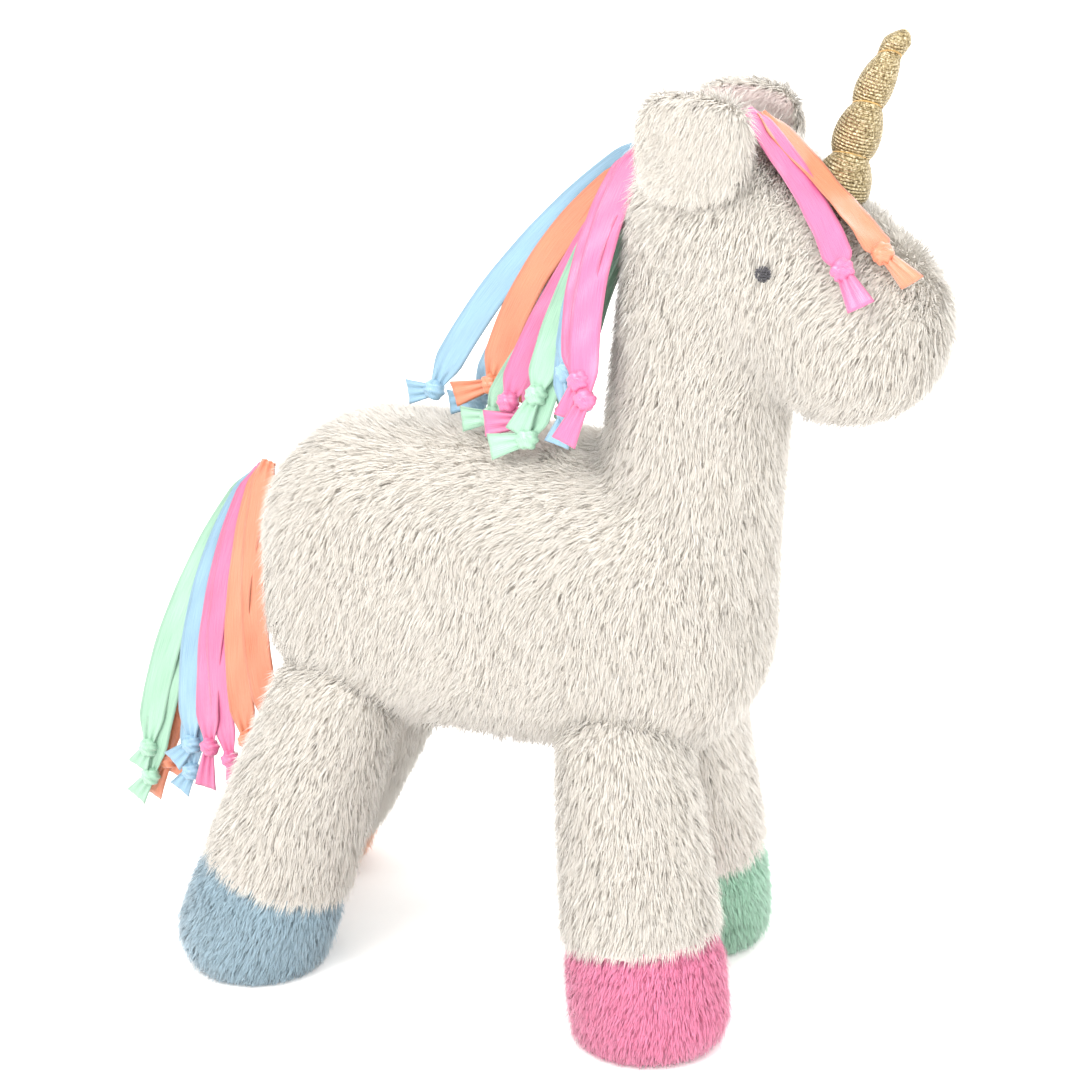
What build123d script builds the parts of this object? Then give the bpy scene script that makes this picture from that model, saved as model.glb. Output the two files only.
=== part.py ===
"""Plush unicorn standing on four legs, sewn from plush panels and stuffed, with satin ribbon mane and tail.

Millimetres. +X points to the nose, +Y to the toy's left, +Z up. The soles stand on Z = 0 and the origin is
under the middle of the toy's box.
"""
from build123d import *
import os
from math import cos, hypot, radians, sin, sqrt

os.makedirs("parts", exist_ok=True)

# ---- Plush and sewing ----
plush = 6.0  # backing cloth with its pile
stuffing_gap = 0.2  # between a skin and the stuffing inside it
joint_gap = 0.8  # air between bodies that swing past each other

# ---- Torso, a rounded box ----
torso_length = 196.0
torso_width = 100.0
torso_height = 116.0
torso_round = 44.0
belly_height = 96.0
belly_gusset_width = 48.0
belly_gusset_rise = 12.0  # how far up from the belly the gusset's seams lie

# ---- Neck, which nods about a cross axis in the shoulders ----
shoulder = (65.0, 174.0)  # X and Z of the nod axis
shoulder_radius = 40.0
neck_radius = 33.0
neck_head = (73.5, 290.0)  # X and Z of the point in the head that the neck's line runs to
neck_foot = 40.0  # how far the torso carries the neck's round below the nod axis

# ---- Head, a cranium and a muzzle of one radius joined by a straight tube ----
head_radius = 36.5
cranium = (77.5, 297.0)
muzzle = (123.5, 264.0)
head_gusset_width = 26.0

# ---- Legs ----
hip_radius = 25.0
hip_height = 104.0
hip_spread = 30.0  # half the distance between the left and right hips
front_hip = 53.0
hind_hip = -62.0
foot_radius = 31.0
foot_round = 15.0
hoof_height = 38.0
sole_radius = 14.0
hip_reach = 52.0  # how far down a leg the torso's pocket runs
leg_swing = 15.0
# X and distance from the middle plane of each foot: the toy stands with its legs set apart by hand
foot_places = {
    "front_right": (70.0, 43.0),
    "front_left": (58.0, 43.0),
    "hind_right": (-96.0, 43.0),
    "hind_left": (-123.0, 43.0),
}

# ---- Ears ----
ear_width = 36.0
ear_height = 21.0
ear_thickness = 9.0
ear_lining = 2.0
ear_place = (75.0, 27.5)  # X and Y of the ear's root
ear_round = 12.0
ear_lean = 12.0  # outwards from upright
ear_swing_room = 1.9  # round the ear's rolled root, enough for it to fold either way

# ---- Horn ----
horn_foot = (117.0, 310.0)
horn_tip = (132.0, 366.0)
horn_base_radius = 9.0
horn_tip_radius = 3.2
horn_bulges = 4
horn_pinch = 1.3
horn_room = 2.0  # round the horn's foot, where it bends
horn_room_length = 18.0
horn_cloth = 1.0
thread_radius = 0.4

# ---- Eyes ----
eye_radius = 3.0
eye_along = 25.0  # from the cranium's centre towards the muzzle
eye_angle = 11.0  # above the widest line of the head

# ---- Satin ribbon ----
ribbon_width = 10.0
ribbon_thickness = 0.6
ribbon_root = 3.0  # width where it is gathered into the seam
ribbon_neck = 4.0  # width where it enters its knot
knot_radius = 3.6
knot_bite = 1.2  # how far the ribbon runs on inside its knot
knot_depth = 5.0  # across the ribbon's face
tail_flare = 8.0  # width of the cut end past the knot
strand_gap = 0.2  # between the two strands of one ribbon
seam_step = 1.8  # sideways step from one ribbon to the next along the seam

# Each mane ribbon is folded in two: for each strand, the height of its root on the crest, its hang angle
# back from straight down, its length to the knot, how far it bows out, and the cut end's angle and length.
mane_top = 325.0
mane_first_offset = -4.8
mane_first_slope = 0.352
mane_slope_step = 0.054
mane_ribbons = {
    "mane_ribbon_pink_side": ((320.0, 6.0, 88.0, 7.0, 20.0, 13.0), (318.0, 8.0, 80.0, 8.0, 12.0, 10.0)),
    "mane_ribbon_blue_side": ((321.0, 14.0, 83.0, 5.5, -25.0, 12.0), (318.0, 10.0, 93.0, 7.5, 13.0, 8.0)),
    "mane_ribbon_mint_side": ((301.0, 19.0, 74.0, 3.0, 22.0, 12.0), (292.0, 19.0, 81.0, 1.0, 72.0, 11.0)),
    "mane_ribbon_pink_back": ((300.0, 20.0, 85.0, 1.5, 80.0, 13.0), (303.0, 26.0, 86.0, 3.0, -30.0, 6.0)),
    "mane_ribbon_mint_back": ((291.0, 15.0, 71.0, 2.0, -10.0, 4.0), (290.0, 33.0, 86.0, 3.0, 80.0, 8.0)),
    "mane_ribbon_orange": ((311.0, 32.0, 98.0, 9.0, 70.0, 12.0), (308.0, 24.0, 84.0, 6.0, 24.0, 7.0)),
    "mane_ribbon_blue_far": ((319.0, 40.0, 128.0, 8.0, 80.0, 7.0), (317.0, 33.0, 117.0, 6.0, 80.0, 8.0)),
}
# Forelock strands: X and Y of the root, middle and knot, and the length of the cut end
forelock_clearance = 3.6
forelock_end_lift = 0.2
forelock_strands = {
    "forelock_ribbon_pink": ((88.0, -13.5), (110.0, -24.0), (127.5, -32.0), 11.0),
    "forelock_ribbon_orange": ((97.0, -6.5), (119.0, -17.0), (138.0, -22.0), 11.0),
}
tail_top = 190.0
tail_first_offset = -2.4
tail_first_slope = 0.055
tail_slope_step = 0.02
tail_ribbons = {
    "tail_ribbon_orange_near": ((187.0, 0.0, 107.0, 7.0, 15.0, 12.0), (186.0, 5.0, 114.0, 8.0, -20.0, 9.0)),
    "tail_ribbon_pink": ((184.0, 8.0, 124.0, 11.0, -15.0, 6.0), (182.0, 12.0, 120.0, 8.0, 7.0, 14.0)),
    "tail_ribbon_blue": ((181.0, 16.0, 123.0, 10.0, 45.0, 9.0), (181.0, 15.0, 135.0, 7.0, 32.0, 7.0)),
    "tail_ribbon_mint": ((180.0, 24.0, 136.0, 9.0, 28.0, 7.0), (180.0, 22.0, 148.0, 7.0, 34.0, 9.0)),
    "tail_ribbon_orange_far": ((181.0, 21.0, 141.0, 9.0, 26.0, 15.0), (182.0, 18.0, 131.0, 4.0, 24.0, 13.0)),
}

# ---- Places that follow from the sizes above ----
torso_middle = belly_height + torso_height / 2
rump = -torso_length / 2
nod_axis = Plane(origin=(shoulder[0], 0, shoulder[1]), x_dir=(1, 0, 0), z_dir=(0, -1, 0))
neck_line = Vector(neck_head[0] - shoulder[0], 0, neck_head[1] - shoulder[1])
head_line = Vector(muzzle[0] - cranium[0], 0, muzzle[1] - cranium[1])
head_up = Vector(-head_line.Z, 0, head_line.X).normalized()
big = 400.0  # larger than the toy, for half spaces

pieces = []


def finish_piece(builder, label):
    builder.part.label = label
    pieces.append(builder.part)


# ---- Forms, each the outside of a sewn body or the same form a skin's thickness further in ----
def torso_form(inset):
    with BuildPart() as form:
        with Locations((0, 0, torso_middle)):
            Box(torso_length - 2 * inset, torso_width - 2 * inset, torso_height - 2 * inset)
        fillet(form.edges(), radius=torso_round - inset)
    return form.part


def neck_tube(inset, foot_length=0):
    """The neck from the nod axis, or from foot_length below it, up into the head."""
    along = neck_line.normalized()
    foot = Vector(shoulder[0], 0, shoulder[1]) - along * foot_length
    with BuildPart() as form:
        with BuildSketch(Plane(origin=foot, z_dir=along)):
            Circle(neck_radius - inset)
        extrude(amount=neck_line.length + foot_length)
    return form.part


def head_form(inset):
    radius = head_radius - inset
    with BuildPart() as form:
        with Locations((cranium[0], 0, cranium[1]), (muzzle[0], 0, muzzle[1])):
            Sphere(radius)
        with BuildSketch(Plane(origin=(cranium[0], 0, cranium[1]), z_dir=head_line)):
            Circle(radius)
        extrude(amount=head_line.length)
    return form.part


def shoulder_roll(radius):
    """The round on which the neck's foot turns."""
    with BuildPart() as form:
        with BuildSketch(nod_axis):
            Circle(radius)
        extrude(amount=torso_width, both=True)
    return form.part


def leg_line(name):
    side = -1 if name.endswith("right") else 1
    hip_x = front_hip if name.startswith("front") else hind_hip
    hip = Vector(hip_x, side * hip_spread, hip_height)
    foot_x, foot_y = foot_places[name]
    foot = Vector(foot_x, side * foot_y, 0)
    return hip, foot


def leg_form(name, inset):
    """A leg turned about its own line: a domed hip, a tube that widens downwards and a rounded foot."""
    hip, foot = leg_line(name)
    down = foot - hip
    length = down.length
    lean = hypot(down.X, down.Y) / -down.Z
    tilt = Plane(origin=hip, z_dir=down)
    section = Plane(origin=hip, x_dir=tilt.x_dir, z_dir=tilt.y_dir)
    top = hip_radius - inset
    wide = foot_radius - inset
    corner = foot_round - inset
    # the flat of the foot starts below the floor by as much as the lean lifts its edge
    floor_drop = (foot_radius - foot_round) * lean
    end = length + floor_drop
    with BuildPart() as form:
        with BuildSketch(section):
            with BuildLine():
                RadiusArc((0, top), (top, 0), top)
                Line((top, 0), (wide, -(length - hoof_height)))
                Line((wide, -(length - hoof_height)), (wide, -(end - foot_round)))
                RadiusArc((wide, -(end - foot_round)), (wide - corner, -(end - inset)), corner)
                Line((wide - corner, -(end - inset)), (0, -(end - inset)))
                Line((0, -(end - inset)), (0, top))
            make_face()
        revolve(axis=Axis(hip, down))
        split(bisect_by=Plane.XY.offset(inset), keep=Keep.TOP)
    return form.part


def hip_socket(name):
    """The room that a leg's top sweeps through while it swings."""
    hip, foot = leg_line(name)
    down = (foot - hip).normalized()
    spread = (foot_radius - hip_radius) / (hip_height - hoof_height)
    with BuildPart() as room:
        with Locations(hip):
            Sphere(hip_radius + joint_gap)
        for swing in (-leg_swing, 0, leg_swing):
            line = down.rotate(Axis.Y, swing)
            near = Plane(origin=hip, z_dir=line)
            with BuildSketch(near):
                Circle(hip_radius + joint_gap)
            with BuildSketch(near.offset(hip_reach)):
                Circle(hip_radius + joint_gap + hip_reach * spread)
            loft()
    return room.part


# ---- Torso ----
def torso_body(inset):
    with BuildPart() as body:
        add(neck_tube(inset, neck_foot))
        add(shoulder_roll(shoulder_radius), mode=Mode.INTERSECT)
        add(torso_form(inset))
    return body.part


with BuildPart() as neck_room:
    add(neck_tube(-joint_gap))
    add(shoulder_roll(shoulder_radius), mode=Mode.SUBTRACT)

sockets = [hip_socket(name) for name in foot_places]

with BuildPart() as torso_skin:
    add(torso_body(0))
    add(torso_body(plush), mode=Mode.SUBTRACT)
    add(neck_room.part, mode=Mode.SUBTRACT)
    add(sockets, mode=Mode.SUBTRACT)

with BuildPart() as torso_stuffing:
    add(torso_body(plush + stuffing_gap))
    add(neck_room.part, mode=Mode.SUBTRACT)
    add(sockets, mode=Mode.SUBTRACT)
finish_piece(torso_stuffing, "torso_stuffing")

belly_seam = belly_height + belly_gusset_rise
with BuildPart() as belly_gusset:
    add(torso_skin.part)
    with Locations((0, 0, belly_seam)):
        Box(big, belly_gusset_width, big, align=(Align.CENTER, Align.CENTER, Align.MAX), mode=Mode.INTERSECT)
finish_piece(belly_gusset, "belly_gusset")

for side, keep in (("left", Keep.BOTTOM), ("right", Keep.TOP)):
    with BuildPart() as torso_side:
        add(torso_skin.part)
        split(bisect_by=Plane.XZ, keep=keep)
        with Locations((0, 0, belly_seam)):
            Box(big, belly_gusset_width, big, align=(Align.CENTER, Align.CENTER, Align.MAX), mode=Mode.SUBTRACT)
    finish_piece(torso_side, f"torso_side_{side}")

# ---- Horn's foot and the ears' roots, which the head's skin leaves room for ----
horn_line = Vector(horn_tip[0] - horn_foot[0], 0, horn_tip[1] - horn_foot[1])
horn_plane = Plane(origin=(horn_foot[0], 0, horn_foot[1]), x_dir=(0, -1, 0), z_dir=horn_line)
ear_drop = sqrt(head_radius**2 - ear_place[1] ** 2)
ear_base_height = cranium[1] + ear_drop + ear_swing_room

with BuildPart() as head_rooms:
    with Locations((horn_foot[0], 0, horn_foot[1])):
        Sphere(horn_base_radius + joint_gap)
    with BuildSketch(horn_plane):
        Circle(horn_base_radius + horn_room)
    extrude(amount=horn_room_length)
    for side in (-1, 1):
        ear_root = Plane(origin=(ear_place[0], side * ear_place[1], ear_base_height), z_dir=(1, 0, 0))
        with BuildSketch(ear_root):
            Circle(ear_thickness / 2 + ear_swing_room)
        extrude(amount=ear_width / 2 + ear_swing_room, both=True)

# ---- Eyes: domes of thread sewn into the side panels ----
eye_middle = Vector(cranium[0], 0, cranium[1]) + head_line.normalized() * eye_along
eye_out = Vector(0, cos(radians(eye_angle)), 0) + head_up * sin(radians(eye_angle))
eye_bed = head_radius - eye_radius / 2
eye_places = {
    "right": eye_middle + Vector(eye_out.X, -eye_out.Y, eye_out.Z) * eye_bed,
    "left": eye_middle + eye_out * eye_bed,
}
for side, place in eye_places.items():
    with BuildPart() as eye:
        with Locations(place):
            Sphere(eye_radius)
    finish_piece(eye, f"eye_{side}")

# ---- Neck and head ----
with BuildPart() as neck_head_skin:
    add(head_form(0))
    add(neck_tube(0))
    add(head_form(plush), mode=Mode.SUBTRACT)
    add(neck_tube(plush), mode=Mode.SUBTRACT)
    add(shoulder_roll(shoulder_radius + joint_gap), mode=Mode.SUBTRACT)
    add(head_rooms.part, mode=Mode.SUBTRACT)
    with Locations(*eye_places.values()):
        Sphere(eye_radius + stuffing_gap, mode=Mode.SUBTRACT)

head_top = Plane(origin=(cranium[0], 0, cranium[1]), x_dir=head_line, z_dir=head_up)
with BuildPart() as gusset_room:
    with BuildSketch(head_top):
        Rectangle(big, head_gusset_width)
    extrude(amount=2 * head_radius)

with BuildPart() as head_gusset:
    add(neck_head_skin.part)
    add(gusset_room.part, mode=Mode.INTERSECT)
finish_piece(head_gusset, "head_gusset")

for side, keep in (("left", Keep.BOTTOM), ("right", Keep.TOP)):
    with BuildPart() as head_side:
        add(neck_head_skin.part)
        split(bisect_by=Plane.XZ, keep=keep)
        add(gusset_room.part, mode=Mode.SUBTRACT)
    finish_piece(head_side, f"head_neck_side_{side}")

with BuildPart() as head_stuffing:
    add(head_form(plush + stuffing_gap))
    add(head_rooms.part, mode=Mode.SUBTRACT)
finish_piece(head_stuffing, "head_stuffing")

with BuildPart() as neck_stuffing:
    add(neck_tube(plush + stuffing_gap))
    add(shoulder_roll(shoulder_radius + joint_gap), mode=Mode.SUBTRACT)
    add(head_form(plush), mode=Mode.SUBTRACT)
finish_piece(neck_stuffing, "neck_stuffing")

# ---- Legs ----
for name in foot_places:
    hip, foot = leg_line(name)
    down = foot - hip
    outer = leg_form(name, 0)
    inner = leg_form(name, plush)
    hoof_seam = Plane(origin=foot - down.normalized() * hoof_height, z_dir=down)
    with BuildPart() as sole:
        with BuildSketch(Plane.XY):
            with Locations((foot.X, foot.Y)):
                Circle(sole_radius)
        extrude(amount=plush - stuffing_gap)
    finish_piece(sole, f"leg_{name}_sole")
    with BuildPart() as hoof:
        add(outer)
        add(inner, mode=Mode.SUBTRACT)
        split(bisect_by=hoof_seam, keep=Keep.TOP)
        with BuildSketch(Plane.XY):
            with Locations((foot.X, foot.Y)):
                Circle(sole_radius)
        extrude(amount=plush, mode=Mode.SUBTRACT)
    finish_piece(hoof, f"leg_{name}_hoof")
    with BuildPart() as leg_skin:
        add(outer)
        add(inner, mode=Mode.SUBTRACT)
        split(bisect_by=hoof_seam, keep=Keep.BOTTOM)
    finish_piece(leg_skin, f"leg_{name}_skin")
    with BuildPart() as leg_stuffing:
        add(leg_form(name, plush + stuffing_gap))
    finish_piece(leg_stuffing, f"leg_{name}_stuffing")

# ---- Ears: a padded plush flap with a plain lining on the side that faces in ----
for side, way in (("left", 1), ("right", -1)):
    root = Vector(ear_place[0], way * ear_place[1], ear_base_height)
    upright = Vector(0, 0, 1).rotate(Axis.X, -way * ear_lean)
    outward = Vector(0, way, 0).rotate(Axis.X, -way * ear_lean)
    face = Plane(origin=root, x_dir=(1, 0, 0), z_dir=outward)
    rise = 1 if face.y_dir.dot(upright) > 0 else -1
    half = ear_thickness / 2
    with BuildPart() as flap:
        with BuildSketch(face.offset(-half)) as outline:
            with Locations((0, rise * ear_height / 2)):
                Rectangle(ear_width, ear_height)
            top_corners = outline.vertices().sort_by_distance((0, -rise * ear_height))[2:]
            fillet(top_corners, radius=ear_round)
        extrude(amount=ear_thickness)
        with BuildSketch(Plane(origin=root, z_dir=(1, 0, 0))):
            Circle(half)
        extrude(amount=ear_width / 2, both=True)
    with BuildPart() as ear_outer:
        add(flap.part)
        split(bisect_by=face.offset(ear_lining - half), keep=Keep.TOP)
    finish_piece(ear_outer, f"ear_{side}_outer")
    with BuildPart() as lining:
        add(flap.part)
        split(bisect_by=face.offset(ear_lining - half), keep=Keep.BOTTOM)
    finish_piece(lining, f"ear_{side}_lining")

# ---- Horn: a cone of rib-knit pinched into bulges, over its stuffing, with thread in the pinches ----
horn_length = horn_line.length
bulge_length = (horn_length - horn_tip_radius) / horn_bulges


def horn_radius(height):
    return horn_base_radius + (horn_tip_radius - horn_base_radius) * height / horn_length


def horn_form(inset):
    section = Plane(origin=horn_plane.origin, x_dir=(0, 1, 0), z_dir=horn_plane.z_dir.cross(Vector(0, 1, 0)) * -1)
    with BuildPart() as form:
        with BuildSketch(section):
            with BuildLine():
                base = horn_base_radius - inset
                RadiusArc((0, -base), (base, 0), -base)
                here = (base, 0)
                for bulge in range(horn_bulges):
                    middle = bulge_length * (bulge + 0.5)
                    end = bulge_length * (bulge + 1)
                    pinched = horn_radius(end) - horn_pinch - inset
                    ThreePointArc(here, (horn_radius(middle) - inset, middle), (pinched, end))
                    here = (pinched, end)
                Line(here, (0, here[1]))
                Line((0, here[1]), (0, -base))
            make_face()
        revolve(axis=Axis(horn_plane.origin, horn_plane.z_dir))
    return form.part


with BuildPart() as horn_cover:
    add(horn_form(0))
    add(horn_form(horn_cloth), mode=Mode.SUBTRACT)
finish_piece(horn_cover, "horn_cover")

with BuildPart() as horn_stuffing:
    add(horn_form(horn_cloth + stuffing_gap / 2))
finish_piece(horn_stuffing, "horn_stuffing")

# Identical turns of winding thread, one in each pinch
with BuildPart() as horn_thread:
    for pinch in range(1, horn_bulges):
        height = pinch * bulge_length
        ring = horn_radius(height) - horn_pinch + 2 * thread_radius
        with Locations(horn_plane.offset(height).location):
            Torus(ring, thread_radius)
finish_piece(horn_thread, "horn_winding_thread")


# ---- Ribbons ----
def strand_outline(sheet, root, angle, length, bow, end_angle, end_length):
    """One strand, leaf-shaped from its gathered root to its knot, and its flared cut end past the knot."""
    along = Vector(-sin(radians(angle)), -cos(radians(angle)))
    across = Vector(along.Y, -along.X)
    knot = root + along * length
    middle = root + along * (length / 2) + across * bow
    cut_along = Vector(-sin(radians(end_angle)), -cos(radians(end_angle)))
    cut_across = Vector(cut_along.Y, -cut_along.X)
    cut = knot + cut_along * (knot_radius + end_length)
    into_knot = knot - along * (knot_bite)
    out_of_knot = knot + cut_along * (knot_bite)
    with BuildSketch(sheet) as outline:
        with BuildLine():
            far_edge = Spline(
                root - across * (ribbon_root / 2),
                middle - across * (ribbon_width / 2),
                into_knot - across * (ribbon_neck / 2),
            )
            near_edge = Spline(
                root + across * (ribbon_root / 2),
                middle + across * (ribbon_width / 2),
                into_knot + across * (ribbon_neck / 2),
            )
            Line(far_edge @ 0, near_edge @ 0)
            Line(far_edge @ 1, near_edge @ 1)
        make_face()
    with BuildSketch(sheet) as cut_end:
        with BuildLine():
            Polyline(
                out_of_knot + cut_across * (ribbon_neck / 2),
                cut + cut_across * (tail_flare / 2),
                cut - cut_across * (tail_flare / 2),
                out_of_knot - cut_across * (ribbon_neck / 2),
                close=True,
            )
        make_face()
    return outline.sketch, cut_end.sketch, sheet.from_local_coords(knot)


def hang_ribbon(top, offset, slope, strands, seam):
    """A folded ribbon: its strands hang in planes side by side that slope sideways by slope per unit down."""
    sheet = Plane(origin=(0, offset, top), x_dir=(1, 0, 0), z_dir=(0, -1, slope))
    stretch = hypot(1, slope)
    with BuildPart() as ribbon:
        for strand, (height, *shape) in enumerate(strands):
            layer = sheet.offset(-strand * (ribbon_thickness + strand_gap))
            root = Vector(seam(height), (height - top) * stretch)
            outline, cut_end, knot = strand_outline(layer, root, *shape)
            extrude(outline, amount=ribbon_thickness, dir=layer.z_dir)
            extrude(cut_end, amount=ribbon_thickness, dir=layer.z_dir)
            under_knot = knot + layer.z_dir * (ribbon_thickness - knot_depth) / 2
            with BuildSketch(Plane(origin=under_knot, x_dir=layer.x_dir, z_dir=layer.z_dir)):
                Circle(knot_radius)
            extrude(amount=knot_depth)
    return ribbon


def crest(height):
    """Where the ribbons leave the seam down the back of the head and neck."""
    rise = height - cranium[1]
    return cranium[0] - sqrt(head_radius**2 - rise**2) - ribbon_root - joint_gap


for index, (name, strands) in enumerate(mane_ribbons.items()):
    offset = mane_first_offset + index * seam_step
    slope = mane_first_slope - index * mane_slope_step
    finish_piece(hang_ribbon(mane_top, offset, slope, strands, crest), name)


def rump_seam(height):
    """Where the tail's ribbons leave the seam at the top of the rump, fanned out backwards."""
    return rump - ribbon_root - (tail_top - height)


for index, (name, strands) in enumerate(tail_ribbons.items()):
    offset = tail_first_offset + index * seam_step
    slope = tail_first_slope - index * tail_slope_step
    finish_piece(hang_ribbon(tail_top, offset, slope, strands, rump_seam), name)


def on_head(place):
    """A point that a forelock strand passes, clear of the head's surface."""
    x, y = place
    away = head_radius + forelock_clearance
    start = Vector(cranium[0], 0, cranium[1])
    unit = head_line.normalized()
    # straight tube part of the head: the height where the distance from the head's line is away
    rise = sqrt(away**2 - y**2)
    along = (x - start.X - rise * head_up.X) / unit.X
    if along > head_line.length:
        ball = sqrt(away**2 - y**2 - (x - muzzle[0]) ** 2)
        return Vector(x, y, muzzle[1] + ball)
    if along < 0:
        ball = sqrt(away**2 - y**2 - (x - cranium[0]) ** 2)
        return Vector(x, y, cranium[1] + ball)
    on_line = start + unit * along
    return on_line + head_up * rise + Vector(0, y, 0)


def head_normal(point):
    """The direction straight out of the head's tube at a point beside it."""
    start = Vector(cranium[0], 0, cranium[1])
    unit = head_line.normalized()
    return (point - start - unit * (point - start).dot(unit)).normalized()


for name, (root_place, middle_place, knot_place, end_length) in forelock_strands.items():
    root = on_head(root_place)
    middle = on_head(middle_place)
    knot = on_head(knot_place)
    lift = head_normal(knot)
    knot = knot + lift * joint_gap
    chord = knot - root
    out = head_normal(middle)
    wide = chord.cross(out).normalized()
    middle = middle - wide * (middle - root).dot(wide)
    flat = Plane(origin=root, x_dir=chord, z_dir=wide)
    cloth = out * (ribbon_thickness / 2)
    lower = [flat.to_local_coords(point - cloth) for point in (root, middle, knot)]
    upper = [flat.to_local_coords(point + cloth) for point in (root, middle, knot)]
    with BuildPart() as strand:
        with BuildSketch(flat):
            with BuildLine():
                inner_arc = ThreePointArc(*lower)
                outer_arc = ThreePointArc(*upper)
                Line(inner_arc @ 0, outer_arc @ 0)
                Line(inner_arc @ 1, outer_arc @ 1)
            make_face()
        extrude(amount=ribbon_width / 2, both=True)
        across_face = wide.cross(knot - root).normalized()
        with BuildSketch(Plane(origin=knot - across_face * (knot_depth / 2), x_dir=wide, z_dir=across_face)):
            Circle(knot_radius)
        extrude(amount=knot_depth)
        end_line = (knot - middle).normalized() + lift * forelock_end_lift
        with BuildSketch(Plane(origin=knot, x_dir=wide, z_dir=end_line)):
            Rectangle(tail_flare, ribbon_thickness)
        extrude(amount=knot_radius + end_length)
    finish_piece(strand, name)

# ---- Origin: on the floor in the toy's middle plane, under the middle of its length ----
boxes = [piece.bounding_box() for piece in pieces]
middle_x = (min(box.min.X for box in boxes) + max(box.max.X for box in boxes)) / 2
to_origin = Location((-middle_x, 0, 0))
for piece in pieces:
    placed = piece.moved(to_origin)
    placed.label = piece.label
    export_step(placed, f"parts/{piece.label}.step")
print(f"{len(pieces)} pieces, moved {-middle_x:.3f} forwards to the origin")
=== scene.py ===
"""Looks for the plush unicorn: fur, coloured hooves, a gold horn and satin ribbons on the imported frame."""

import math

import bpy
import numpy as np
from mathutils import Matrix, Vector
from mathutils.kdtree import KDTree


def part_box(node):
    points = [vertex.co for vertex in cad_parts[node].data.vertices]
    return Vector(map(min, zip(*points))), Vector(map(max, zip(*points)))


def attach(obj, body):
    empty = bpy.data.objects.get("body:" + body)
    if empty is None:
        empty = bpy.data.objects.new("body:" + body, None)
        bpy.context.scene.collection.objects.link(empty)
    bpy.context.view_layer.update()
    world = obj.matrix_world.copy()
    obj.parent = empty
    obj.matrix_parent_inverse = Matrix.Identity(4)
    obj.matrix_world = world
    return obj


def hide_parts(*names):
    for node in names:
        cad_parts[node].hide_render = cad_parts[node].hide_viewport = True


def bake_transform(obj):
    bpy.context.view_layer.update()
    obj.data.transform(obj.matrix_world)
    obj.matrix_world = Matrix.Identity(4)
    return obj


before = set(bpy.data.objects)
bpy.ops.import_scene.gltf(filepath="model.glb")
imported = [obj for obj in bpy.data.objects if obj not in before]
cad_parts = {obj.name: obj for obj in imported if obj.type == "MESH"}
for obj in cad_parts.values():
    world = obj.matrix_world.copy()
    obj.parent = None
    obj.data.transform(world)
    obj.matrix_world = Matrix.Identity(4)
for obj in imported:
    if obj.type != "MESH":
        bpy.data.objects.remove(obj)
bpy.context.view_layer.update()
rng = np.random.default_rng(7)
MM = 0.001

# ---- Places in part.py's millimetres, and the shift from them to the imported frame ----
TORSO_LENGTH, TORSO_WIDTH, TORSO_DEPTH = 196.0, 100.0, 116.0
TORSO_CORNER, TORSO_MIDDLE = 44.0, 154.0
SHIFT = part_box("torso_side_right")[0].x / MM + TORSO_LENGTH / 2
PILE = 5.5  # how far the sewn skin lies inside the pile's surface
# x and z of places on the toy's middle plane
SHOULDER = (65.0, 174.0)
NECK_HEAD = (73.5, 290.0)
CRANIUM = (77.5, 297.0)
MUZZLE = (123.5, 264.0)
HORN_FOOT, HORN_TIP = (117.0, 310.0), (132.0, 366.0)
NECK_RADIUS = 33.0
HEAD_RADIUS = 36.5
HIP_HEIGHT = 104.0
HIP_SPREAD = 30.0
HIP_RADIUS = 25.0
FOOT_RADIUS = 31.0
HOOF_HEIGHT = 38.0
# X of the hip, then X and distance from the middle of the foot
LEGS = {
    "front_right": (53.0, 70.0, 43.0),
    "front_left": (53.0, 58.0, 43.0),
    "hind_right": (-62.0, -96.0, 43.0),
    "hind_left": (-62.0, -123.0, 43.0),
}
HOOF_COLOURS = {"front_right": "pink", "front_left": "mint", "hind_right": "blue", "hind_left": "orange"}


def at(x, y, z):
    """A place given in part millimetres, in metres in the row frame."""
    return np.array([(x + SHIFT) * MM, y * MM, z * MM])


def on_middle(place):
    """A place given as (x, z) on the toy's middle plane."""
    return at(place[0], 0, place[1])


def unit(v):
    """v at length 1, for one vector or a row of them."""
    v = np.asarray(v, float)
    return v / np.maximum(np.linalg.norm(v, axis=-1, keepdims=True), 1e-12)


# ---- Materials ----
def linear(red, green, blue):
    """A screen colour of 0 to 255, as the linear colour that a shader takes."""

    def one(c):
        c = c / 255.0
        return c / 12.92 if c <= 0.04045 else ((c + 0.055) / 1.055) ** 2.4

    return (one(red), one(green), one(blue), 1.0)


def shade(colour, factor):
    return tuple(min(1.0, c * factor) for c in colour[:3]) + (1.0,)


def new_material(name):
    material = bpy.data.materials.new(name)
    material.use_nodes = True
    tree = material.node_tree
    return material, tree, tree.nodes["Principled BSDF"]


def add_node(tree, kind, **values):
    node = tree.nodes.new(kind)
    for key, value in values.items():
        if key in node.inputs:
            node.inputs[key].default_value = value
        else:
            setattr(node, key, value)
    return node


def set_ramp(node, stops):
    ramp = node.color_ramp
    while len(ramp.elements) > 1:
        ramp.elements.remove(ramp.elements[0])
    ramp.elements[0].position, ramp.elements[0].color = stops[0]
    for position, colour in stops[1:]:
        ramp.elements.new(position).color = colour


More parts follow.
